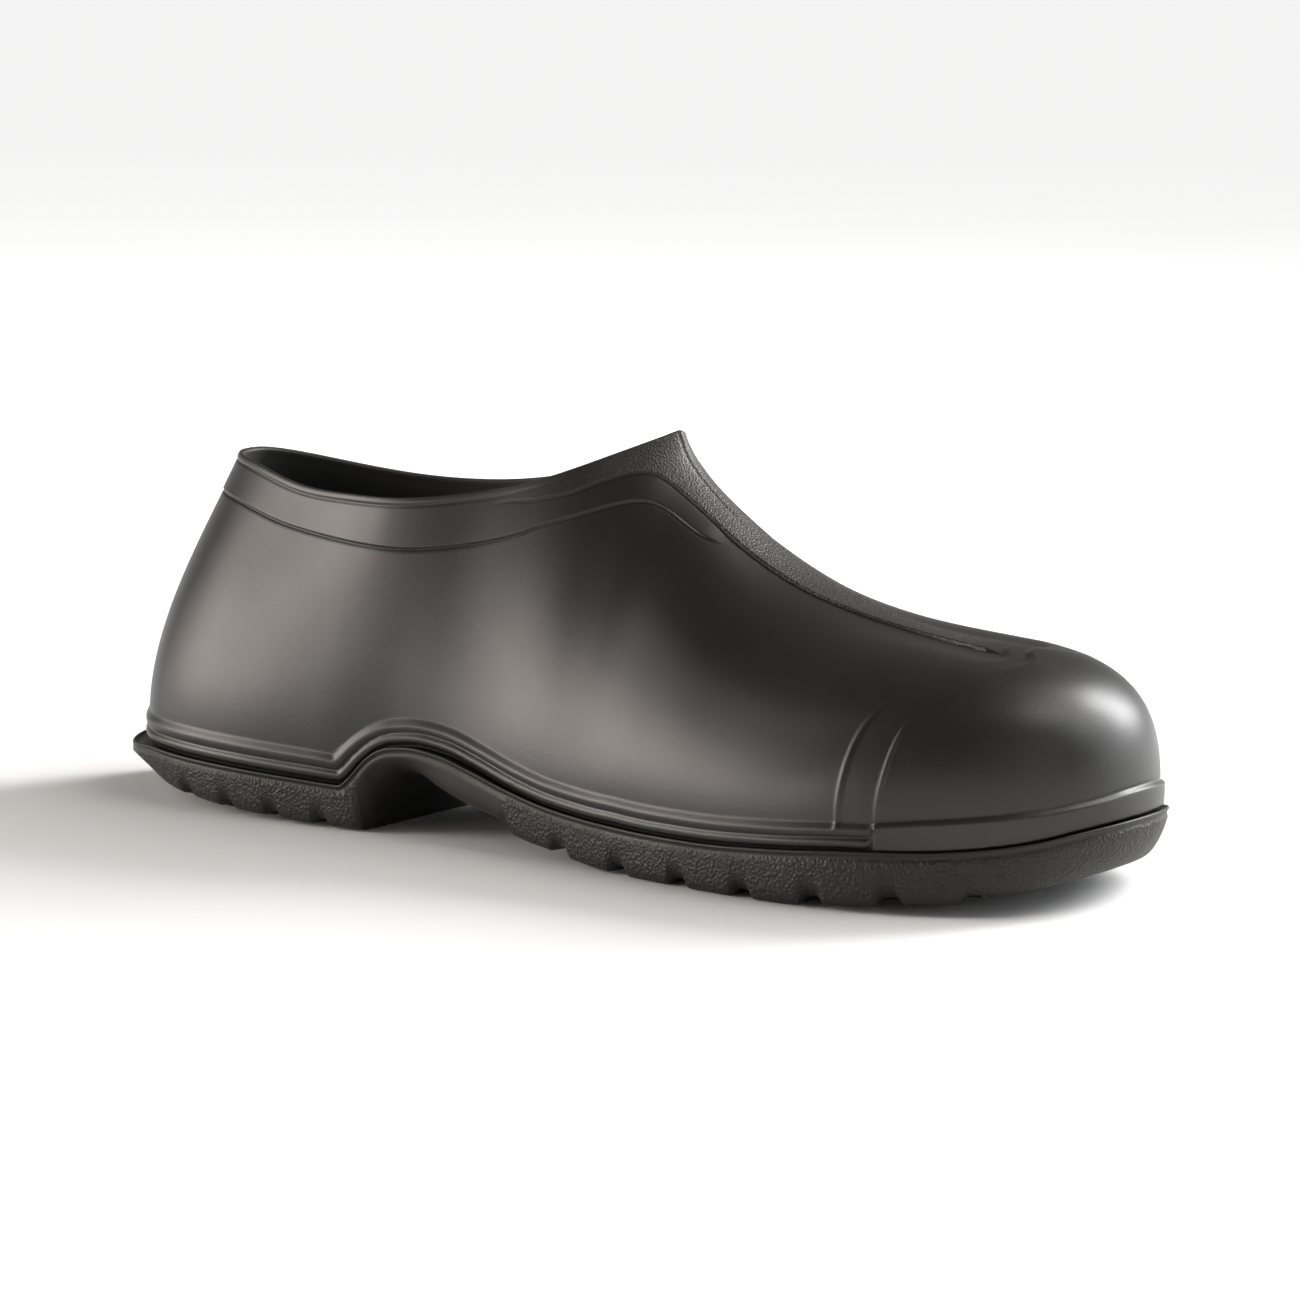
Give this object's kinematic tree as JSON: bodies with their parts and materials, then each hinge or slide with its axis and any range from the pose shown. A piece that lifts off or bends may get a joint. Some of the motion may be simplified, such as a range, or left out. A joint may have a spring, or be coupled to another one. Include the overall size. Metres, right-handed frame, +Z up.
{
  "type": "overshoe",
  "caption": "Low slip-on moulded work overshoe: hollow upper with a collar band, vamp strip and toe-cap lines on a lugged outsole with heel block and arched waist; left foot.",
  "frame": {"origin": "on the ground under the middle of the overall box", "axes": "+X towards the toe, +Y towards the lateral (outer) side of this left shoe, +Z up"},
  "size_m": [0.316, 0.1125, 0.106],
  "materials": {
    "upper": "semi-gloss moulded black PVC, smooth, with a fine-grained vamp strip",
    "outsole": "matt pebbled black PVC"
  },
  "bodies": {
    "root": {"upper": "upper", "outsole": "outsole"}
  },
  "joints": []
}
